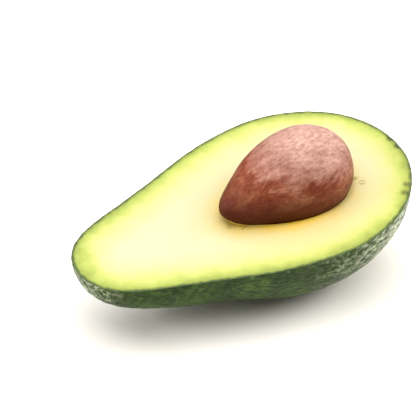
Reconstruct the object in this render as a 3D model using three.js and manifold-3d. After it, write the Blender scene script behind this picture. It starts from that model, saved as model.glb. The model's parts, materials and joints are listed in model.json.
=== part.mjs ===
// Half an avocado, cut lengthways, with its seed still in it.
// It lies on its round back, on a small flat spot, with the neck end a little low.
// Millimetres, +Z up. The long axis runs along X, from the stem end to the blossom end.
import * as THREE from "three";
import { mergeVertices } from "three/addons/utils/BufferGeometryUtils.js";
import Module from "manifold-3d";

const wasm = await Module();
wasm.setup();

// Driving sizes of the fruit.
const LENGTH = 120;
const FULLNESS = [0.535, 0.232, 0.648, 0.638, 0.723]; // stem end, neck, middle, belly, blossom end
const BOW = 0.013; // how far the long axis bows sideways, as a share of the length
const BOW_SKEW = 0.003; // how much more of that bow is near the stem end
const PEEL = 1.2; // thickness of the skin
const GAP = 0.3; // clearance between touching pieces

// The back: a shallow waist behind the neck, and a belly pressed flatter where it rests.
// at and spread are shares of the length; depth is a share of the body's own depth there.
const WAIST = { at: 0.37, spread: 0.12, depth: 0.08 };
const PRESSED = { at: 0.7, spread: 0.2, depth: 0.06, focus: 6 };

// Driving sizes of the seed, and where its middle lies in the cut face.
const SEED = { length: 49.4, radius: 14.8, bluntness: 0.47, egg: 0.365, taper: 0.1 };
const SEED_AT = new THREE.Vector3(14.2, -2.45, 4.5);
const SEED_TURN = 0.073; // radians, about the normal of the cut face

// How the half lies, in radians, and how deep its flat spot is worn.
const NOSE_DOWN = 0.0984;
const LEAN = 0.1626;
const FLAT_DEPTH = 0.6;

// Mesh fineness: steps along the long axis and around it.
const BODY_STEPS = { along: 30, around: 40 };
const SEED_STEPS = { along: 18, around: 28 };
const BLOCK = 200; // a cutting block, larger than the fruit

// A smooth bump of height 1 at share t = at of the length.
function bump(t, { at, spread }) {
  return Math.exp(-(((t - at) / spread) ** 2));
}

// Half the fruit's width at share t of its length: a rounded pear outline.
function bodyRadius(t) {
  const s = 1 - t;
  const [stem, neck, middle, belly, blossom] = FULLNESS;
  const fullness =
    stem * s ** 4 + 4 * neck * t * s ** 3 + 6 * middle * t ** 2 * s ** 2 + 4 * belly * t ** 3 * s + blossom * t ** 4;
  return LENGTH * Math.sqrt(t * s) * fullness;
}

// The seed's radius at share t of its length: an egg, blunt towards the blossom end.
function seedRadius(t) {
  const x = 2 * t - 1;
  return SEED.radius * (1 - x * x) ** SEED.bluntness * (1 + SEED.egg * x - SEED.taper * x * x);
}

// A round solid along X about its own middle, with its whole surface moved in by inset.
function spindle(length, radius, steps, inset) {
  const outline = [];
  for (let i = 0; i <= steps.along; i += 1) {
    const t = (1 - Math.cos((Math.PI * i) / steps.along)) / 2;
    outline.push(new THREE.Vector2(i % steps.along ? radius(t) : 0, length * (t - 0.5)));
  }
  const points = outline.map((point, i) => {
    if (i === 0) return new THREE.Vector2(0, point.y + inset);
    if (i === steps.along) return new THREE.Vector2(0, point.y - inset);
    const run = outline[i + 1].clone().sub(outline[i - 1]).normalize();
    return new THREE.Vector2(point.x - inset * run.y, point.y + inset * run.x);
  });
  return new THREE.LatheGeometry(points, steps.around).rotateZ(-Math.PI / 2);
}

// The pear body: a spindle bowed sideways, with the waist and the pressed belly in its back.
function pear(inset) {
  const geometry = spindle(LENGTH, bodyRadius, BODY_STEPS, inset);
  const place = geometry.attributes.position;
  for (let i = 0; i < place.count; i += 1) {
    const t = THREE.MathUtils.clamp(place.getX(i) / LENGTH + 0.5, 0, 1);
    let across = place.getY(i);
    let height = place.getZ(i);
    if (height < 0) {
      height *= 1 - WAIST.depth * bump(t, WAIST);
      const down = -(across * Math.sin(LEAN) + height * Math.cos(LEAN)) / Math.hypot(across, height);
      const keep = 1 - PRESSED.depth * bump(t, PRESSED) * Math.max(down, 0) ** PRESSED.focus;
      across *= keep;
      height *= keep;
    }
    const bow = -4 * t * (1 - t) * (BOW + BOW_SKEW * (1 - 2 * t));
    place.setXYZ(i, place.getX(i), across + LENGTH * bow, height);
  }
  return geometry;
}

// Closed geometry to solid, and back.
function solid(geometry) {
  const bare = geometry.clone();
  bare.deleteAttribute("normal");
  bare.deleteAttribute("uv");
  const merged = mergeVertices(bare, 1e-4);
  return new wasm.Manifold(
    new wasm.Mesh({
      numProp: 3,
      vertProperties: new Float32Array(merged.attributes.position.array),
      triVerts: new Uint32Array(merged.index.array),
    }),
  );
}

function geometryOf(body) {
  const mesh = body.getMesh();
  const geometry = new THREE.BufferGeometry();
  geometry.setAttribute("position", new THREE.BufferAttribute(new Float32Array(mesh.vertProperties), 3));
  geometry.setIndex(new THREE.BufferAttribute(new Uint32Array(mesh.triVerts), 1));
  geometry.computeVertexNormals();
  return geometry;
}

// Everything below the cut face.
const belowCut = solid(new THREE.BoxGeometry(BLOCK, BLOCK, BLOCK).translate(0, 0, -BLOCK / 2));

// The way the half lies: leaned about its long axis, then its neck end let down.
const lie = new THREE.Matrix4().makeRotationFromEuler(new THREE.Euler(LEAN, -NOSE_DOWN, 0, "YXZ"));

// The table under it, turned into the fruit's own axes, high enough to wear the flat spot.
function tableUnder(geometry) {
  const lying = geometry.clone().applyMatrix4(lie);
  lying.computeBoundingBox();
  const top = lying.boundingBox.min.z + FLAT_DEPTH;
  const block = new THREE.BoxGeometry(BLOCK, BLOCK, BLOCK).translate(0, 0, top - BLOCK / 2);
  return solid(block.applyMatrix4(lie.clone().invert()));
}

// The skin: a thin shell round the back, open at the cut face, flat where it rests.
function makeSkin() {
  const outside = pear(0);
  const shell = solid(outside).subtract(solid(pear(PEEL)));
  const material = new THREE.MeshStandardMaterial({ color: 0x4d6433, roughness: 0.45, metalness: 0 });
  const mesh = new THREE.Mesh(geometryOf(shell.intersect(belowCut).subtract(tableUnder(outside))), material);
  mesh.name = "skin";
  return mesh;
}

// The seed: an egg lying in the cut face, its pointed end towards the stem.
function makeSeed() {
  const material = new THREE.MeshStandardMaterial({ color: 0xa0644a, roughness: 0.5, metalness: 0 });
  const egg = spindle(SEED.length, seedRadius, SEED_STEPS, 0);
  const mesh = new THREE.Mesh(geometryOf(solid(egg)), material);
  mesh.name = "seed";
  mesh.position.copy(SEED_AT);
  mesh.rotation.z = SEED_TURN;
  return mesh;
}

// The flesh: fills the skin up to the cut face, with the hollow that the seed sits in.
function makeFlesh(seed) {
  seed.updateMatrix();
  const hollow = spindle(SEED.length, seedRadius, SEED_STEPS, -GAP).applyMatrix4(seed.matrix);
  const half = solid(pear(PEEL + GAP)).intersect(belowCut);
  const material = new THREE.MeshStandardMaterial({ color: 0xf6f2b4, roughness: 0.55, metalness: 0 });
  const mesh = new THREE.Mesh(geometryOf(half.subtract(solid(hollow))), material);
  mesh.name = "flesh";
  return mesh;
}

const seed = makeSeed();
const fruit = new THREE.Group();
fruit.add(makeSkin(), makeFlesh(seed), seed);
fruit.applyMatrix4(lie);

// The origin is on the table, under the middle of the box round the whole half.
const avocadoHalf = new THREE.Group();
avocadoHalf.add(fruit);
const box = new THREE.Box3().setFromObject(avocadoHalf, true);
fruit.position.set(-(box.min.x + box.max.x) / 2, -(box.min.y + box.max.y) / 2, -box.min.z);

export default avocadoHalf;
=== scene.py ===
# %% [markdown]
# # Half an avocado with its seed
#
# This is half of a green, pear-shaped avocado, cut lengthways and lying on its round back. It has three
# pieces: a thin skin, the flesh, and the seed that rests in a hollow in the flesh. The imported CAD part
# gives the sizes and the way it lies; here each piece gets its real surface and finish.
#
# Every piece is shaped in millimetres in the fruit's own axes, where the cut face is the level plane
# z = 0 and the long axis is X. Only then is it laid down on the table. That keeps the shaping simple to
# read.

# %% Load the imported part
import functools
import json
import math

import bpy
from mathutils import Matrix, Vector, kdtree, noise

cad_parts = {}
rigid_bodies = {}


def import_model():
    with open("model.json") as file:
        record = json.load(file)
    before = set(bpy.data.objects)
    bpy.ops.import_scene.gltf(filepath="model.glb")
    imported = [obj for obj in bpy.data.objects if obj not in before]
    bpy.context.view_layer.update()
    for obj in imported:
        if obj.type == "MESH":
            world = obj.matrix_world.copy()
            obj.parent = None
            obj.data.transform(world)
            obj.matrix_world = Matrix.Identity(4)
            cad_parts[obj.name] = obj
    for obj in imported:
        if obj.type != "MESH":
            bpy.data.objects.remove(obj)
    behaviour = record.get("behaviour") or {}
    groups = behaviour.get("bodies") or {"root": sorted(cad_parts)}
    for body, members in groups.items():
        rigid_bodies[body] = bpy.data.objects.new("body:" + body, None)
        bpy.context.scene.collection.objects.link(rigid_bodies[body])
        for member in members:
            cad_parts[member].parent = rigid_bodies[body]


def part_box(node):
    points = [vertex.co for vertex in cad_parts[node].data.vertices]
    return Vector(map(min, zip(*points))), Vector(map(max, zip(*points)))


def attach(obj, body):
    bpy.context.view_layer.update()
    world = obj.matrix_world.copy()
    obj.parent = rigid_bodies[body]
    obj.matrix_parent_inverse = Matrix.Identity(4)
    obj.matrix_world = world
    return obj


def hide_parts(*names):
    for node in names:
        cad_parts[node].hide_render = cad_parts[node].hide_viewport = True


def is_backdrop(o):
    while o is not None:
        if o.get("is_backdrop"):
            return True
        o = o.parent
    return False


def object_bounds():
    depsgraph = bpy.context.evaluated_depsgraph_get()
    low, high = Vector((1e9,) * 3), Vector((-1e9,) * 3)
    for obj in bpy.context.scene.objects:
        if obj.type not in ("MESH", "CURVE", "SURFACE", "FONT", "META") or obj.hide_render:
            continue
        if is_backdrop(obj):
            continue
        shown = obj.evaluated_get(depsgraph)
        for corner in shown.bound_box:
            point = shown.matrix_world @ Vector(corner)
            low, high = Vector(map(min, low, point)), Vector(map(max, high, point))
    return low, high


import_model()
cad_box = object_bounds()
MM = 0.001
print("CAD box in mm:", [[round(c / MM, 1) for c in corner] for corner in cad_box])

# %% [markdown]
# ## Camera
#
# The half is seen from its front left, from about a third of the way up, through a long lens that
# keeps the outline calm. The camera comes first, because everything else is judged through it.

# %% Place the camera
CAMERA_TURN = math.radians(-30.9)
CAMERA_LIFT = math.radians(32.2)
CAMERA_DISTANCE = 600 * MM
CAMERA_AIM = Vector((-9.8, 6.2, 30.2)) * MM
LENS_MM = 161.7

back = Vector((
    math.sin(CAMERA_TURN) * math.cos(CAMERA_LIFT),
    -math.cos(CAMERA_TURN) * math.cos(CAMERA_LIFT),
    math.sin(CAMERA_LIFT),
))
bpy.ops.object.camera_add(location=CAMERA_AIM + back * CAMERA_DISTANCE)
camera = bpy.context.object
camera.name = "camera"
camera.rotation_euler = back.to_track_quat("Z", "Y").to_euler()
camera.data.lens = LENS_MM
camera.data.clip_start = 10 * MM
bpy.context.scene.camera = camera
print("camera at", [round(c, 3) for c in camera.location])

# %% [markdown]
# ## The shape of the fruit
#
# A pear outline has a narrow stem end, a full belly and a round blossom end. One formula gives it: the
# square root makes both ends round, and five numbers say how full the body is from end to end. The same
# numbers drive the CAD part, so the pieces match it.

# %% Driving sizes, in millimetres, as in the CAD part
LENGTH = 120
FULLNESS = (0.535, 0.232, 0.648, 0.638, 0.723)
BOW = 0.013
BOW_SKEW = 0.003
PEEL = 1.2
WAIST = {"at": 0.37, "spread": 0.12, "depth": 0.08}
PRESSED = {"at": 0.7, "spread": 0.2, "depth": 0.06, "focus": 6}
SEED_LENGTH = 49.4
SEED_RADIUS = 14.8
SEED_EGG = {"roundness": 0.47, "bluntness": 0.365, "slimness": 0.1}
SEED_AT = Vector((14.2, -2.45, 4.5))
SEED_TURN = 0.073
NOSE_DOWN = 0.0984
LEAN = 0.1626
FLAT_DEPTH = 0.6
QUARTER = math.pi / 2


def bump(t, spot):
    """A smooth bump of height 1 at one place along the fruit."""
    return math.exp(-(((t - spot["at"]) / spot["spread"]) ** 2))


def body_radius(t):
    """Half the fruit's width at share t of its length."""
    s = 1 - t
    weights = (s**4, 4 * t * s**3, 6 * t**2 * s**2, 4 * t**3 * s, t**4)
    return LENGTH * math.sqrt(t * s) * sum(w * f for w, f in zip(weights, FULLNESS))


def seed_radius(t):
    """The seed's radius at share t of its length: an egg, blunt towards the blossom end."""
    x = 2 * t - 1
    egg = 1 + SEED_EGG["bluntness"] * x - SEED_EGG["slimness"] * x * x
    return SEED_RADIUS * max(1 - x * x, 0) ** SEED_EGG["roundness"] * egg


print("widest point of the body:", round(2 * max(body_radius(i / 100) for i in range(101)), 1), "mm")

# %% [markdown]
# Every place on such a body has two addresses: its share of the length, and how far it has swung round
# the long axis from straight down. A flat grid is bent into a shell by giving each of its points those
# two numbers. An inset moves the whole surface inwards by the same thickness everywhere, which is how
# the inside of the skin is made from the outside.

# %% Find a point of the fruit's surface
SLOPE_STEP = 0.0005


@functools.lru_cache(maxsize=None)
def outline_point(t, length, radius, inset):
    """How far along and how far out a point of the outline is, once it has moved in by inset."""
    before = max(t - SLOPE_STEP, 0)
    after = min(t + SLOPE_STEP, 1)
    run = Vector((length * (after - before), radius(after) - radius(before))).normalized()
    return length * (t - 0.5) + inset * run.y, max(radius(t) - inset * run.x, 0)


def pear_point(t, swing, inset=0):
    """A point of the pear body, for a share of the length and a swing from straight down."""
    along, out = outline_point(t, LENGTH, body_radius, inset)
    side = out * math.sin(swing)
    height = -out * math.cos(swing)
    if out > 0:
        height *= 1 - WAIST["depth"] * bump(t, WAIST)
        down = -(side * math.sin(LEAN) + height * math.cos(LEAN)) / math.hypot(side, height)
        keep = 1 - PRESSED["depth"] * bump(t, PRESSED) * max(down, 0) ** PRESSED["focus"]
        side *= keep
        height *= keep
    bow = -4 * t * (1 - t) * (BOW + BOW_SKEW * (1 - 2 * t))
    return Vector((along, side + LENGTH * bow, height))


def inset_pear(inset):
    """The pear body with its surface moved in."""
    return lambda t, swing: pear_point(t, swing, inset)


def seed_point(t, swing):
    """A point of the seed, about the seed's own axis."""
    along, out = outline_point(t, SEED_LENGTH, seed_radius, 0)
    return Vector((along, out * math.sin(swing), -out * math.cos(swing)))


print("the fruit's middle is", round(-pear_point(0.5, 0).z, 1), "mm deep below the cut")

# %% [markdown]
# A half shell swings a quarter turn to each side, so its two long edges lie in the cut plane; a whole
# one swings half a turn and closes on itself. The grid's stations crowd together towards the ends,
# where the body curves most, and meet in one point there.
#
# A half piece is two half shells, its outside and its inside, with the space between their rims closed
# by rings of faces. The inside is held a hair lower while that is done, because two rims in one plane
# are easily joined the wrong way round.

# %% Bend grids into shells
ON_PLANE = 0.001
MERGE_WITHIN = 0.0001
SHARE_DIGITS = 7


def shell(name, along, round_it, place, reach):
    """A grid bent into a shell by place, swinging from -reach to reach, and closed at its ends."""
    bpy.ops.object.select_all(action="DESELECT")
    bpy.ops.mesh.primitive_grid_add(x_subdivisions=along, y_subdivisions=round_it, size=2)
    piece = bpy.context.object
    piece.name = name
    for vertex in piece.data.vertices:
        # rounded, so that outline_point meets the same shares again and need not work them out
        t = round((1 - math.cos(math.pi * (vertex.co.x + 1) / 2)) / 2, SHARE_DIGITS)
        vertex.co = place(t, vertex.co.y * reach)
        if abs(vertex.co.z) < ON_PLANE:
            vertex.co.z = 0
    bpy.ops.object.mode_set(mode="EDIT")
    bpy.ops.mesh.select_all(action="SELECT")
    bpy.ops.mesh.remove_doubles(threshold=MERGE_WITHIN)
    bpy.ops.mesh.normals_make_consistent(inside=False)
    bpy.ops.object.mode_set(mode="OBJECT")
    return piece


# %% Join two half shells
RIM_DROP = 0.01


def join_shells(outer, inner, cuts):
    """Joins two half shells and closes the space between their rims with rings of faces."""
    for vertex in inner.data.vertices:
        vertex.co.z -= RIM_DROP
    bpy.ops.object.select_all(action="DESELECT")
    inner.select_set(True)
    outer.select_set(True)
    bpy.context.view_layer.objects.active = outer
    bpy.ops.object.join()
    bpy.ops.object.mode_set(mode="EDIT")
    bpy.ops.mesh.select_mode(type="EDGE")
    bpy.ops.mesh.select_all(action="DESELECT")
    bpy.ops.mesh.select_non_manifold(
        extend=False, use_wire=False, use_boundary=True, use_multi_face=False,
        use_non_contiguous=False, use_verts=False,
    )
    bpy.ops.mesh.bridge_edge_loops(number_cuts=cuts, smoothness=0, interpolation="LINEAR")
    bpy.ops.mesh.select_all(action="SELECT")
    bpy.ops.mesh.normals_make_consistent(inside=False)
    bpy.ops.object.mode_set(mode="OBJECT")
    for vertex in outer.data.vertices:
        if vertex.co.z > -2 * RIM_DROP:
            vertex.co.z = 0
    return outer


# %% Measure a piece, and keep what was measured
def store(piece, name, values):
    """Keeps one number, or one vector, for each point of a piece, for its material to read."""
    kind = "FLOAT_VECTOR" if isinstance(values[0], Vector) else "FLOAT"
    attribute = piece.data.attributes.new(name, kind, "POINT")
    if kind == "FLOAT_VECTOR":
        attribute.data.foreach_set("vector", [c for value in values for c in value])
    else:
        attribute.data.foreach_set("value", values)


def distances(piece, points):
    """How far each point of a piece is from the nearest of some other points."""
    tree = kdtree.KDTree(len(points))
    for index, point in enumerate(points):
        tree.insert(point, index)
    tree.balance()
    return [tree.find(vertex.co)[2] for vertex in piece.data.vertices]


def rim(piece):
    """The points of a half shell that lie in the cut plane."""
    return [vertex.co.copy() for vertex in piece.data.vertices if vertex.co.z == 0]


# %% [markdown]
# ## How the half lies
#
# The half leans towards the viewer and lets its neck end down. The turn is the CAD part's own. Its place
# comes from the frame: the plain pear, laid down, has the same middle as the CAD skin, and its lowest
# point is a flat's depth below the table, because that much of it is pressed flat. Laying a piece down
# also takes it from millimetres to metres.

# %% Find the matrix that lays a piece down
MODEL_ALONG = 160
MODEL_ROUND = 80

lie = Matrix.Scale(MM, 4) @ Matrix.Rotation(-NOSE_DOWN, 4, "Y") @ Matrix.Rotation(LEAN, 4, "X")
model_pear = shell("model_pear", MODEL_ALONG, MODEL_ROUND, pear_point, QUARTER)
laid = [lie @ vertex.co for vertex in model_pear.data.vertices]
bpy.data.objects.remove(model_pear)
low = Vector(min(point[axis] for point in laid) for axis in range(3))
high = Vector(max(point[axis] for point in laid) for axis in range(3))
skin_low, skin_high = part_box("skin")
middle = (skin_low + skin_high) / 2 - (low + high) / 2
to_table = Matrix.Translation((middle.x, middle.y, -FLAT_DEPTH * MM - low.z)) @ lie
print("the fruit's axes start at", [round(c / MM, 2) for c in to_table.translation], "mm")


# %% Lay a finished piece down, with its place in its mesh
def lay_down(piece, node):
    """Turns and moves a piece to the table, and puts it in the place of its CAD node."""
    piece.matrix_world = to_table @ piece.matrix_world
    bpy.ops.object.select_all(action="DESELECT")
    piece.select_set(True)
    bpy.context.view_layer.objects.active = piece
    bpy.ops.object.transform_apply(location=True, rotation=True, scale=True)
    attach(piece, "root")
    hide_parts(node)
    print(node, "has", len(piece.data.polygons), "faces")


# %% [markdown]
# ## Skin
#
# The peel of a green avocado is about a millimetre thick, waxy, and covered in low pebbles with fine
# furrows between them. The pebbles are real relief, because they show along the outline where light
# grazes the skin. A round scar marks where the stem was, and a smaller one where the blossom was. The
# edge has two pairs of small nicks near the blossom end, which have dried dark.

# %% Sizes and places of the skin's relief, in millimetres
SKIN_ALONG = 250
SKIN_ROUND = 160
SHARP_EDGE = math.radians(50)
PEBBLE_SIZE = 2.3
PEBBLE_STRETCH = 1.3
PEBBLE_HEIGHT = 0.3
PEBBLE_TOP = 0.45
PEBBLE_LEVEL = 0.2
DENT_SIZE = 17
DENT_HEIGHT = 0.3
STEM_SCAR = {"at": (0.03, 0.9), "radius": 3.2, "depth": 0.9}
BLOSSOM_SCAR = {"at": (0.995, 0.4), "radius": 1.6, "depth": 0.5}
NICKS = (Vector((59.2, 1.2, 0)), Vector((59.1, -3.1, 0)), Vector((50.8, -20, 0)), Vector((48, -23, 0)))
NICK_RADIUS = 1.25
NICK_DEPTH = 0.15


def within(point, centre, radius):
    """1 at the middle of a spot, falling to 0 past its edge."""
    return math.exp(-(((point - centre).length / radius) ** 4))


def nick_at(point):
    """1 in the middle of a nick, falling to 0 past its edge."""
    return max(within(point, nick, NICK_RADIUS) for nick in NICKS)


def relief(point):
    """Height of the skin's relief at a point: flat-topped pebbles on broad shallow dents."""
    broad = noise.noise(point / DENT_SIZE) * DENT_HEIGHT
    stretched = Vector((point.x / PEBBLE_STRETCH, point.y, point.z)) / PEBBLE_SIZE
    near, next_near = noise.voronoi(stretched)[0][:2]
    return broad + (min(next_near - near, PEBBLE_TOP) - PEBBLE_LEVEL) * PEBBLE_HEIGHT


# %% Raise the relief on the outside
skin = shell("skin_peel", SKIN_ALONG, SKIN_ROUND, pear_point, QUARTER)
inside = shell("inside", SKIN_ALONG, SKIN_ROUND, inset_pear(PEEL), QUARTER)
scars = [(pear_point(*scar["at"]), scar) for scar in (STEM_SCAR, BLOSSOM_SCAR)]
normals = [vertex.normal.copy() for vertex in skin.data.vertices]
for vertex, normal in zip(skin.data.vertices, normals):
    on_rim = vertex.co.z == 0
    lift = relief(vertex.co)
    for spot, scar in scars:
        lift -= scar["depth"] * within(vertex.co, spot, scar["radius"])
    for nick in NICKS:
        lift -= NICK_DEPTH * within(vertex.co, nick, NICK_RADIUS)
    vertex.co += normal * lift
    if on_rim:
        vertex.co.z = 0
peel_rim = rim(skin)
print("points on the skin's rim:", len(peel_rim))

# %% Join it to the inside, and keep the places of the fruit, the scars and the nicks
EDGE_RINGS = 2
SCAR_SPREAD = 1.1

skin = join_shells(skin, inside, cuts=EDGE_RINGS)
store(skin, "fruit", [vertex.co.copy() for vertex in skin.data.vertices])
store(skin, "from_outside", distances(skin, peel_rim))
store(skin, "scar", [
    max(within(vertex.co, spot, scar["radius"] * SCAR_SPREAD) for spot, scar in scars)
    for vertex in skin.data.vertices
])
store(skin, "nick", [nick_at(vertex.co) for vertex in skin.data.vertices])
bpy.ops.object.shade_smooth_by_angle(angle=SHARP_EDGE)
cut_edge = {face.index for face in skin.data.polygons if abs(face.center.z) < ON_PLANE}
print("faces in the skin's cut edge:", len(cut_edge))

# %% Lay the skin down, and press its lowest point flat on the table
lay_down(skin, "skin")
for vertex in skin.data.vertices:
    vertex.co.z = max(vertex.co.z, 0)

# %% [markdown]
# ## Flesh
#
# The flesh fills the skin. Its cut face runs from the skin's edge to the rim of the hollow, and the
# hollow is the lower part of the seed's egg, below the cut plane.

# %% Shape of the hollow
SKIN_GAP = 0.03
HOLLOW_GAP = 0.12
HALVINGS = 40
FLESH_ALONG = 250
FLESH_ROUND = 64
FACE_RINGS = 44
to_seed = Matrix.Translation(SEED_AT) @ Matrix.Rotation(SEED_TURN, 4, "Z")


def hollow_end(outside, inside):
    """Where along the seed the hollow starts or stops: its radius just reaches the cut plane."""
    for _ in range(HALVINGS):
        t = (outside + inside) / 2
        if seed_radius(t) + HOLLOW_GAP > SEED_AT.z:
            inside = t
        else:
            outside = t
    return inside


hollow_start = hollow_end(0, 0.5)
hollow_stop = hollow_end(1, 0.5)


def hollow_point(t, swing):
    """A point of the hollow in the flesh; the share and the swing are squeezed into its opening."""
    t = hollow_start + (hollow_stop - hollow_start) * t
    out = max(seed_radius(t) + HOLLOW_GAP, SEED_AT.z)
    swing *= math.acos(SEED_AT.z / out) / QUARTER
    return to_seed @ Vector((SEED_LENGTH * (t - 0.5), out * math.sin(swing), -out * math.cos(swing)))


# %% Make the flesh
flesh = shell("flesh_body", FLESH_ALONG, FLESH_ROUND, inset_pear(PEEL + SKIN_GAP), QUARTER)
hollow = shell("hollow", FLESH_ALONG, FLESH_ROUND, hollow_point, QUARTER)
hollow_rim = rim(hollow)
flesh_rim = rim(flesh)
flesh = join_shells(flesh, hollow, cuts=FACE_RINGS)
print("points on the hollow's rim:", len(hollow_rim))

# %% [markdown]
# The face is not dead flat: a knife leaves slow waves, and the flesh rounds off at the hollow's rim.

# %% Shape the cut face
LIP = 0.9
LIP_DROP = 0.35
WAVE_SIZE = 20
WAVE_HEIGHT = 0.2
WAVES_START = 4

from_seed = distances(flesh, hollow_rim)
from_skin = distances(flesh, flesh_rim)
for vertex, seed_gap, skin_gap in zip(flesh.data.vertices, from_seed, from_skin):
    if vertex.co.z == 0:
        wave = noise.noise(vertex.co / WAVE_SIZE) * WAVE_HEIGHT * min(skin_gap / WAVES_START, 1)
        vertex.co.z += wave - LIP_DROP * math.exp(-((seed_gap / LIP) ** 2))
print("from the hollow's rim to the skin: up to", round(max(from_seed), 1), "mm")

# %% [markdown]
# The colour of the cut face depends on how far a spot is from the skin and from the seed: green under
# the skin, then yellow, then cream, and golden round the seed. Both distances are measured once and
# kept with the mesh. The gold round the seed is partly a real stain and partly painted light reflected
# from the seed, strongest on the near side of the pointed end. The tip of the neck is green further in
# than the rest. A few short dark threads lie beside the seed. Fine fibres run outwards from it, so a
# place is also kept as a direction and a distance from the seed.

# %% Places of the gold stain and painted reflection, the green tip and the dark threads
STAIN_AND_REFLECTION_REACH = 6.2
STAIN_AND_REFLECTION_FALL = 1.3
STAIN_AND_REFLECTION_SIDE = Vector((-0.6, -0.8, 0))
STAIN_AND_REFLECTION_ALL_ROUND = 0.55
STAIN_AND_REFLECTION_TO_SIDE = 0.45
NECK_GREEN = Vector((-57, 3, 0))
NECK_GREEN_RADIUS = 6
NECK_GREEN_SHARE = 0.6
RAY_ROUND = 20
RAY_ALONG = 9
SPECKS = (Vector((38, -9, 0)), Vector((39, -11.5, 0)), Vector((-8.5, -7, 0)), Vector((-5, -9.5, 0)))
SPECK_RADIUS = 1.3


def ray(place):
    """A direction round the seed and a distance from it; fibres run along the distance."""
    out = math.hypot(place.x, place.y)
    turn = RAY_ROUND / (out + 1)
    return Vector((turn * place.x, turn * place.y, out / RAY_ALONG))


def stain_and_reflection_at(place, gap):
    """How strongly the seed's stain and its painted reflected light colour a place, at a given distance
    from the hollow's rim.
    """
    towards = (place - SEED_AT).normalized().dot(STAIN_AND_REFLECTION_SIDE)
    return math.exp(-((gap / STAIN_AND_REFLECTION_REACH) ** STAIN_AND_REFLECTION_FALL)) * (STAIN_AND_REFLECTION_ALL_ROUND + STAIN_AND_REFLECTION_TO_SIDE * towards)


# %% Keep them with the flesh, and lay it down
store(flesh, "fruit", [vertex.co.copy() for vertex in flesh.data.vertices])
store(flesh, "from_skin", [
    gap * (1 - NECK_GREEN_SHARE * within(vertex.co, NECK_GREEN, NECK_GREEN_RADIUS))
    for vertex, gap in zip(flesh.data.vertices, from_skin)
])
# The gold round the seed is partly a real stain and partly painted light reflected from the seed.
store(flesh, "stain", [
    stain_and_reflection_at(vertex.co, gap) for vertex, gap in zip(flesh.data.vertices, from_seed)
])
store(flesh, "speck", [
    max(within(vertex.co, spot, SPECK_RADIUS) for spot in SPECKS) for vertex in flesh.data.vertices
])
store(flesh, "nick", [nick_at(vertex.co) for vertex in flesh.data.vertices])
store(flesh, "rays", [ray(vertex.co - SEED_AT) for vertex in flesh.data.vertices])
bpy.ops.object.shade_smooth_by_angle(angle=SHARP_EDGE)
lay_down(flesh, "flesh")

# %% [markdown]
# ## Seed
#
# The seed is a smooth hard egg in a thin brown coat. Under the coat its surface is slightly lumpy, and
# the coat itself has fine wrinkles that run mostly from end to end.

# %% Make the seed
SEED_ALONG = 170
SEED_ROUND = 220
LUMP_SIZE = 11
LUMP_HEIGHT = 0.5
WRINKLE_SIZE = 2.4
WRINKLE_STRETCH = 3
WRINKLE_HEIGHT = 0.14

seed = shell("seed_stone", SEED_ALONG, SEED_ROUND, seed_point, 2 * QUARTER)
normals = [vertex.normal.copy() for vertex in seed.data.vertices]
for vertex, normal in zip(seed.data.vertices, normals):
    lump = noise.noise(vertex.co / LUMP_SIZE) * LUMP_HEIGHT
    stretched = Vector((vertex.co.x / WRINKLE_STRETCH, vertex.co.y, vertex.co.z)) / WRINKLE_SIZE
    wrinkle = (0.5 - abs(noise.noise(stretched))) * WRINKLE_HEIGHT
    vertex.co += normal * (lump + wrinkle)
store(seed, "fruit", [vertex.co.copy() for vertex in seed.data.vertices])
bpy.ops.object.shade_smooth()
seed.matrix_world = to_seed
lay_down(seed, "seed")

# %% [markdown]
# ## Finishes
#
# Colours are given as sRGB hex, and one function turns them into the linear values that the shader
# needs. A second adds a node with its settings and links, and a third gives a piece an empty material.
# The IOR of each part of the fruit is near 1.4, between water's 1.33 and plant oil's 1.47.

# %% Three helpers for materials
def colour(hex_code):
    """Linear RGBA from an sRGB hex code."""
    channels = [int(hex_code[i:i + 2], 16) / 255 for i in (0, 2, 4)]
    linear = [c / 12.92 if c <= 0.04045 else ((c + 0.055) / 1.055) ** 2.4 for c in channels]
    return (*linear, 1)


def add(tree, kind, settings=None, links=None):
    """Adds a node; settings name its properties, inputs or ramp stops, links name inputs to join."""
    node = tree.nodes.new("ShaderNode" + kind)
    for name, value in (settings or {}).items():
        if name == "stops":
            ramp = node.color_ramp
            while len(ramp.elements) < len(value):
                ramp.elements.new(1)
            for element, (position, code) in zip(ramp.elements, value):
                element.position = position
                element.color = colour(code)
        elif isinstance(name, int) or name in node.inputs:
            node.inputs[name].default_value = value
        else:
            setattr(node, name, value)
    for name, output in (links or {}).items():
        tree.links.new(output, node.inputs[name])
    return node


def new_material(piece, name):
    """A new empty material on a piece, with its node tree."""
    material = bpy.data.materials.new(name)
    material.use_nodes = True
    material.node_tree.nodes.clear()
    piece.data.materials.append(material)
    return material.node_tree


# %% [markdown]
# ### Waxy avocado peel
#
# The peel is a dark leaf green with lighter, yellower patches about 12 mm wide, and darker furrows round
# pebbles about 1.25 mm wide. Straight rows of pebbles would look made, so their pattern is bent by a
# wandering noise and stretched along the fruit.

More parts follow.
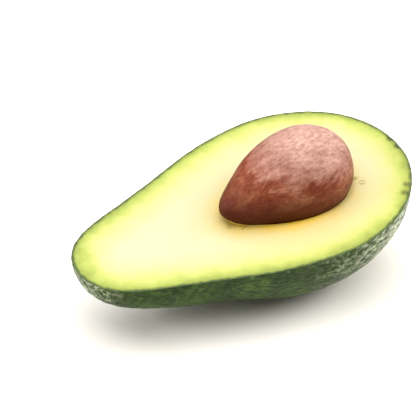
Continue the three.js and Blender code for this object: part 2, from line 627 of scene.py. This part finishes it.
# %% Peel: green patches, with darker furrows round the pebbles
tree = new_material(skin, "waxy_avocado_peel")
place = add(tree, "Attribute", {"attribute_name": "fruit"}).outputs["Vector"]
patches = add(tree, "TexNoise", {"Scale": 1 / 12, "Detail": 4, "Roughness": 0.6}, {"Vector": place})
green = add(tree, "ValToRGB", {"stops": [(0.3, "273a14"), (0.5, "38501e"), (0.7, "4f6b2e")]},
            {"Fac": patches.outputs["Fac"]})
wander = add(tree, "TexNoise", {"Scale": 1 / 2.5, "Detail": 2}, {"Vector": place})
bent = add(tree, "VectorMath", {"operation": "MULTIPLY_ADD", 1: (2.4, 2.4, 2.4)},
           {0: wander.outputs["Color"], 2: place})
stretched = add(tree, "Mapping", {"Scale": (0.55, 1, 1)}, {"Vector": bent.outputs["Vector"]})
pebbles = add(tree, "TexVoronoi", {"Scale": 1 / 1.25, "feature": "SMOOTH_F1", "Smoothness": 0.3},
              {"Vector": stretched.outputs["Vector"]})
furrows = add(tree, "ValToRGB", {"stops": [(0.2, "ffffff"), (0.8, "8d9286")]},
              {"Fac": pebbles.outputs["Distance"]})
furrowed = add(tree, "Mix", {"data_type": "RGBA", "blend_type": "MULTIPLY", 0: 0.9},
               {6: green.outputs["Color"], 7: furrows.outputs["Color"]})
print("peel so far:", len(tree.nodes), "nodes")

# %% [markdown]
# Towards both ends pale grey green flecks are painted on the pebble tops as glints of light, more of
# them the nearer the end. Most are on the near side and in the lighter patches, and there are fewer
# again at the tip of the blossom end.

# %% Peel: where the glints are painted
axes = add(tree, "SeparateXYZ", {}, {"Vector": place}).outputs
blossom = add(tree, "MapRange", {"From Min": -4, "From Max": 36}, {"Value": axes["X"]})
neck = add(tree, "MapRange", {"From Min": -50.5, "From Max": -59}, {"Value": axes["X"]})
ends = add(tree, "Math", {"operation": "ADD"},
           {0: blossom.outputs["Result"], 1: neck.outputs["Result"]})
near_side = add(tree, "MapRange", {"From Min": 8, "From Max": -12, "To Min": 0.15},
                {"Value": axes["Y"]})
patchy = add(tree, "MapRange", {"From Min": 0.3, "From Max": 0.55, "To Min": 0.3},
             {"Value": patches.outputs["Fac"]})
sided = add(tree, "Math", {"operation": "MULTIPLY"},
            {0: patchy.outputs["Result"], 1: near_side.outputs["Result"]})
tip = add(tree, "MapRange", {"From Min": 50, "From Max": 60, "To Min": 1, "To Max": 0.55},
          {"Value": axes["X"]})
glint_spread = add(tree, "Math", {"operation": "MULTIPLY"}, {0: sided.outputs[0], 1: tip.outputs["Result"]})
print("peel so far:", len(tree.nodes), "nodes")

# %% Peel: pale flecks painted as glints
flecks = add(tree, "TexNoise", {"Scale": 1 / 1.3, "Detail": 4, "Roughness": 0.65},
             {"Vector": stretched.outputs["Vector"]})
more = add(tree, "Math", {"operation": "MULTIPLY_ADD", 1: 0.14},
           {0: ends.outputs[0], 2: flecks.outputs["Fac"]})
tops = add(tree, "MapRange", {"From Min": 0.57, "From Max": 0.69}, {"Value": more.outputs[0]})
# Pale flecks painted on the pebble tops near the ends stand for glints of light; the same mask raises
# the sheen.
painted_glints = add(tree, "Math", {"operation": "MULTIPLY"}, {0: ends.outputs[0], 1: tops.outputs["Result"]})
glint_and_gloss_mask = add(tree, "Math", {"operation": "MULTIPLY"}, {0: painted_glints.outputs[0], 1: glint_spread.outputs[0]})
# The painted glints are a pale grey green.
pale = add(tree, "Mix", {"data_type": "RGBA", 7: colour("b0b897")},
           {0: glint_and_gloss_mask.outputs[0], 6: furrowed.outputs[2]})
print("peel so far:", len(tree.nodes), "nodes")

# %% [markdown]
# A few small freckles show where the fruit breathes, and the scars at the stem and at the blossom end
# are brown and corky. The wax gives the peel a soft sheen, which is stronger where the glints are
# painted. The exported model loses that difference, because the export drops a linked specular level.
# Relief finer than the mesh is left to bump.

# %% Peel: freckles, scars, fine relief and sheen
freckles = add(tree, "TexVoronoi", {"Scale": 1 / 3.6}, {"Vector": place})
freckle_mask = add(tree, "ValToRGB", {"stops": [(0.08, "8c8c8c"), (0.17, "000000")]},
                   {"Fac": freckles.outputs["Distance"]})
freckled = add(tree, "Mix", {"data_type": "RGBA", 7: colour("8f9f62")},
               {0: freckle_mask.outputs["Color"], 6: pale.outputs[2]})
scar = add(tree, "Attribute", {"attribute_name": "scar"}).outputs["Fac"]
scarred = add(tree, "Mix", {"data_type": "RGBA", 7: colour("6d5636")},
              {0: scar, 6: freckled.outputs[2]})
fine = add(tree, "TexNoise", {"Scale": 1 / 0.5, "Detail": 3, "Roughness": 0.6}, {"Vector": place})
fine_bump = add(tree, "Bump", {"Strength": 0.3, "Distance": 0.1 * MM},
                {"Height": fine.outputs["Fac"]})
pebble_bump = add(tree, "Bump", {"Strength": 0.9, "Distance": 0.35 * MM, "invert": True},
                  {"Height": pebbles.outputs["Distance"], "Normal": fine_bump.outputs["Normal"]})
shine = add(tree, "MapRange", {"To Min": 0.32, "To Max": 0.46}, {"Value": patches.outputs["Fac"]})
gloss = add(tree, "MapRange", {"To Min": 0.15, "To Max": 0.8}, {"Value": glint_and_gloss_mask.outputs[0]})
peel = add(tree, "BsdfPrincipled", {"IOR": 1.4},
           {"Base Color": scarred.outputs[2], "Roughness": shine.outputs["Result"],
            "Specular IOR Level": gloss.outputs["Result"],
            "Normal": pebble_bump.outputs["Normal"]})
add(tree, "OutputMaterial", {}, {"Surface": peel.outputs["BSDF"]})
print("peel:", len(tree.nodes), "nodes")

# %% [markdown]
# ### Cut edge of the peel
#
# Where the knife went through the peel it shows dark green only at the very outside; it soon turns olive
# and then almost as light as the flesh beside it. It has dried dark at the nicks.

# %% Cut edge material
tree = new_material(skin, "cut_avocado_peel")
place = add(tree, "Attribute", {"attribute_name": "fruit"}).outputs["Vector"]
depth = add(tree, "Attribute", {"attribute_name": "from_outside"}).outputs["Fac"]
nick = add(tree, "Attribute", {"attribute_name": "nick"}).outputs["Fac"]
mottle = add(tree, "TexNoise", {"Scale": 1 / 3, "Detail": 3, "Roughness": 0.6}, {"Vector": place})
shift = add(tree, "MapRange", {"From Min": 0.3, "From Max": 0.7, "To Min": -0.35, "To Max": 0.35},
            {"Value": mottle.outputs["Fac"]})
moved = add(tree, "Math", {"operation": "ADD"}, {0: depth, 1: shift.outputs["Result"]})
olive = add(tree, "ValToRGB", {"stops": [(0.25, "3c4d1c"), (0.75, "66752f"), (1, "87933c")]},
            {"Fac": moved.outputs[0]})
dried_and_highlit = add(tree, "Mix", {"data_type": "RGBA", 7: colour("3b4a20")},
            {0: nick, 6: olive.outputs["Color"]})
cut_peel = add(tree, "BsdfPrincipled", {"IOR": 1.4, "Roughness": 0.55},
               {"Base Color": dried_and_highlit.outputs[2]})
add(tree, "OutputMaterial", {}, {"Surface": cut_peel.outputs["BSDF"]})
for face in skin.data.polygons:
    face.material_index = 1 if face.index in cut_edge else 0
print("cut edge:", len(cut_edge), "faces")

# %% [markdown]
# ### Ripe avocado flesh
#
# Ripe flesh is soft, fatty and a little see-through, so light goes in and comes out again near the
# surface. Its colour follows the distances kept with the mesh: a lime green band about 6 mm wide under
# the skin, and a pale butter yellow in the middle. Fibres and clouds about 7 mm wide blur the band's
# edge. Real fibres are usually finer than these, which are drawn coarse enough to show: about 0.7 mm
# wide beside the seed, and wider further out.

# %% Flesh: from green to butter yellow
tree = new_material(flesh, "ripe_avocado_flesh")
place = add(tree, "Attribute", {"attribute_name": "fruit"}).outputs["Vector"]
rays = add(tree, "Attribute", {"attribute_name": "rays"}).outputs["Vector"]
to_edge = add(tree, "Attribute", {"attribute_name": "from_skin"}).outputs["Fac"]
fibres = add(tree, "TexNoise", {"Scale": 1 / 0.7, "Detail": 3, "Roughness": 0.6}, {"Vector": rays})
drift = add(tree, "TexNoise", {"Scale": 1 / 7, "Detail": 3, "Roughness": 0.55}, {"Vector": place})
blur = add(tree, "Math", {"operation": "MULTIPLY_ADD", 1: 0.3},
           {0: fibres.outputs["Fac"], 2: drift.outputs["Fac"]})
shift = add(tree, "MapRange", {"From Min": 0.4, "From Max": 0.9, "To Min": -1.5, "To Max": 1.5},
            {"Value": blur.outputs[0]})
edge_depth = add(tree, "Math", {"operation": "ADD"}, {0: to_edge, 1: shift.outputs["Result"]})
edge_share = add(tree, "MapRange", {"From Min": 0, "From Max": 14}, {"Value": edge_depth.outputs[0]})
green_band = add(tree, "ValToRGB", {"stops": [
    (0.0, "8f9a40"), (0.1, "a3ae4e"), (0.22, "b6ba62"), (0.45, "c2bf7f"), (1.0, "c2c09b")]},
    {"Fac": edge_share.outputs["Result"]})
print("flesh so far:", len(tree.nodes), "nodes")

# %% [markdown]
# Close to the seed the flesh is gold, partly a real stain and partly painted light reflected from the
# seed. The dark threads beside the seed follow the fibres, and the nicks at the edge have dried olive.

# %% Flesh: gold, threads and nicks
stain = add(tree, "Attribute", {"attribute_name": "stain"}).outputs["Fac"]
speck = add(tree, "Attribute", {"attribute_name": "speck"}).outputs["Fac"]
nick = add(tree, "Attribute", {"attribute_name": "nick"}).outputs["Fac"]
# Gold near the seed: partly a real stain, partly painted light reflected from the seed.
stain_and_reflection_shift = add(tree, "MapRange",
                  {"From Min": 0.45, "From Max": 0.85, "To Min": 0.7, "To Max": 1.2},
                  {"Value": blur.outputs[0]})
stain_and_reflection_share = add(tree, "Math", {"operation": "MULTIPLY", "use_clamp": True},
              {0: stain, 1: stain_and_reflection_shift.outputs["Result"]})
golden = add(tree, "Mix", {"data_type": "RGBA", 7: colour("e4bc38")},
             {0: stain_and_reflection_share.outputs[0], 6: green_band.outputs["Color"]})
speck_share = add(tree, "MapRange", {"From Min": 0.44, "From Max": 0.56, "To Max": 0.85},
                  {"Value": fibres.outputs["Fac"]})
speck_mask = add(tree, "Math", {"operation": "MULTIPLY"},
                 {0: speck, 1: speck_share.outputs["Result"]})
specked = add(tree, "Mix", {"data_type": "RGBA", 7: colour("7d6f28")},
              {0: speck_mask.outputs[0], 6: golden.outputs[2]})
nicked = add(tree, "Mix", {"data_type": "RGBA", 7: colour("686a1e")},
             {0: nick, 6: specked.outputs[2]})
print("flesh so far:", len(tree.nodes), "nodes")

# %% Flesh: grain and softness
grain = add(tree, "TexNoise", {"Scale": 1 / 1.1, "Detail": 4, "Roughness": 0.6}, {"Vector": place})
grain_bump = add(tree, "Bump", {"Strength": 0.3, "Distance": 0.12 * MM},
                 {"Height": grain.outputs["Fac"]})
butter = add(tree, "BsdfPrincipled", {
    "IOR": 1.42, "Roughness": 0.5, "Subsurface Weight": 0.3, "Subsurface Radius": (1.0, 0.8, 0.4),
    "Subsurface Scale": 1.2 * MM},
    {"Base Color": nicked.outputs[2], "Normal": grain_bump.outputs["Normal"]})
add(tree, "OutputMaterial", {}, {"Surface": butter.outputs["BSDF"]})
print("flesh:", len(tree.nodes), "nodes")

# %% [markdown]
# ### Seed coat
#
# The seed's coat is a thin, papery skin. It is reddish brown in clouds about 5 mm wide, mottled light
# and dark at 1 mm, and both are drawn out to twice that from end to end.

# %% Seed coat: clouds and mottling
tree = new_material(seed, "papery_seed_coat")
place = add(tree, "Attribute", {"attribute_name": "fruit"}).outputs["Vector"]
stretched = add(tree, "Mapping", {"Scale": (0.5, 1, 1), "Rotation": (0, 0, 0.35)}, {"Vector": place})
cloud = add(tree, "TexNoise", {"Scale": 1 / 5, "Detail": 5, "Roughness": 0.65, "Distortion": 0.5},
            {"Vector": stretched.outputs["Vector"]})
brown = add(tree, "ValToRGB", {"stops": [(0.34, "74331d"), (0.5, "8a4830"), (0.66, "a06446")]},
            {"Fac": cloud.outputs["Fac"]})
mottle = add(tree, "TexNoise", {"Scale": 1 / 1.0, "Detail": 4, "Roughness": 0.7},
             {"Vector": stretched.outputs["Vector"]})
light = add(tree, "ValToRGB", {"stops": [(0.34, "a58c84"), (0.62, "ffffff")]},
            {"Fac": mottle.outputs["Fac"]})
print("seed coat so far:", len(tree.nodes), "nodes")

# %% [markdown]
# The top of the coat is painted pale and pinkish as a highlight from the light above, reaching furthest
# down at the blunt end. Where it meets the flesh it is painted dark as shade, reaching furthest up at
# the pointed end.

# %% Seed coat: painted highlight on top, painted shade at the foot
axes = add(tree, "SeparateXYZ", {}, {"Vector": place}).outputs
uneven = add(tree, "MapRange", {"From Min": 0.3, "From Max": 0.7, "To Min": -4, "To Max": 4},
             {"Value": cloud.outputs["Fac"]})
slanted = add(tree, "Math", {"operation": "MULTIPLY_ADD", 1: 0.2}, {0: axes["X"], 2: axes["Z"]})
level = add(tree, "Math", {"operation": "ADD"},
            {0: slanted.outputs[0], 1: uneven.outputs["Result"]})
# The top of the coat is painted pale and pinkish as a highlight.
highlight_share = add(tree, "MapRange", {"From Min": 6, "From Max": 17, "To Max": 0.8},
          {"Value": level.outputs[0]})
dried_and_highlit = add(tree, "Mix", {"data_type": "RGBA", 7: colour("d2ac9e")},
            {0: highlight_share.outputs["Result"], 6: brown.outputs["Color"]})
mottled = add(tree, "Mix", {"data_type": "RGBA", "blend_type": "MULTIPLY", 0: 0.68},
              {6: dried_and_highlit.outputs[2], 7: light.outputs["Color"]})
# The foot of the coat, where it meets the flesh, is painted dark as shade.
shade_share = add(tree, "MapRange", {"From Min": 7, "From Max": -4, "To Max": 0.94},
          {"Value": slanted.outputs[0]})
shaded_coat = add(tree, "Mix", {"data_type": "RGBA", 7: colour("441608")},
            {0: shade_share.outputs["Result"], 6: mottled.outputs[2]})
coat_bump = add(tree, "Bump", {"Strength": 0.55, "Distance": 0.2 * MM},
                {"Height": mottle.outputs["Fac"]})
coat = add(tree, "BsdfPrincipled", {"IOR": 1.4, "Roughness": 0.52, "Specular IOR Level": 0.18},
           {"Base Color": shaded_coat.outputs[2], "Normal": coat_bump.outputs["Normal"]})
add(tree, "OutputMaterial", {}, {"Surface": coat.outputs["BSDF"]})
print("seed coat:", len(tree.nodes), "nodes")

# %% [markdown]
# ## Table and light
#
# The half lies on plain white. One wide soft lamp hangs over it, so the cut face and the top of the seed
# are bright, and a smaller one stands at each side, so both ends are too, while the skin that faces the
# viewer stays in soft shade. The room adds a little warm light from everywhere, and is plain white where
# it is seen behind the table. The table gets enough to go quite white wherever the half does not shade
# it. Its IOR is lower than real paper's, which leaves it hardly any sheen.

# %% White table, 1.8 m square
TABLE_SIZE = 1.8
bpy.ops.mesh.primitive_plane_add(size=TABLE_SIZE)
table = bpy.context.object
table.name = "table"
tree = new_material(table, "white_paper")
paper = add(tree, "BsdfPrincipled", {"Base Color": colour("f4f0ea"), "Roughness": 0.8, "IOR": 1.2})
add(tree, "OutputMaterial", {}, {"Surface": paper.outputs["BSDF"]})
table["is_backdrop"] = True
print("table:", TABLE_SIZE, "m")

# %% Soft lamps
to_right = Vector((math.cos(CAMERA_TURN), math.sin(CAMERA_TURN), 0))
to_back = Vector((-math.sin(CAMERA_TURN), math.cos(CAMERA_TURN), 0))


def soft_lamp(name, right, behind, height, width, depth, watts):
    """A lamp as a soft rectangle that faces the half; places are in metres, as the viewer sees them."""
    place = to_right * right + to_back * behind + Vector((0, 0, height))
    bpy.ops.object.light_add(type="AREA", location=place)
    lamp = bpy.context.object
    lamp.name = name
    lamp.data.shape = "RECTANGLE"
    lamp.data.size = width
    lamp.data.size_y = depth
    lamp.data.energy = watts
    turn = Matrix.Rotation(CAMERA_TURN, 3, "Z")
    tilt = (turn.inverted() @ place).to_track_quat("Z", "Y").to_matrix()
    lamp.rotation_euler = (turn @ tilt).to_euler()


soft_lamp("lamp_above", right=0.02, behind=0.03, height=0.8, width=2.2, depth=1.2, watts=23)
soft_lamp("lamp_right", right=0.8, behind=0.25, height=0.4, width=0.4, depth=0.5, watts=5)
soft_lamp("lamp_left", right=-0.8, behind=-0.3, height=0.3, width=0.4, depth=0.5, watts=5.5)
print("soft lamps:", len(bpy.data.lights))

# %% White room, and colours shown as they are
world = bpy.data.worlds.new("soft_white_room")
bpy.context.scene.world = world
world.use_nodes = True
tree = world.node_tree
seen = add(tree, "LightPath").outputs["Is Camera Ray"]
room = add(tree, "Mix", {"data_type": "RGBA", 6: colour("615b50"), 7: colour("ffffff")}, {0: seen})
tree.links.new(room.outputs[2], tree.nodes["Background"].inputs["Color"])
bpy.context.scene.view_settings.view_transform = "Standard"
print("room:", world.name)

# %% Note both boxes, and finish
visual_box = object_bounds()
for end, visual, cad in zip(("lowest", "highest"), visual_box, cad_box):
    off = [round(abs(v - c) / MM, 2) for v, c in zip(visual, cad)]
    print("the", end, "corner of the box is off by", off, "mm")
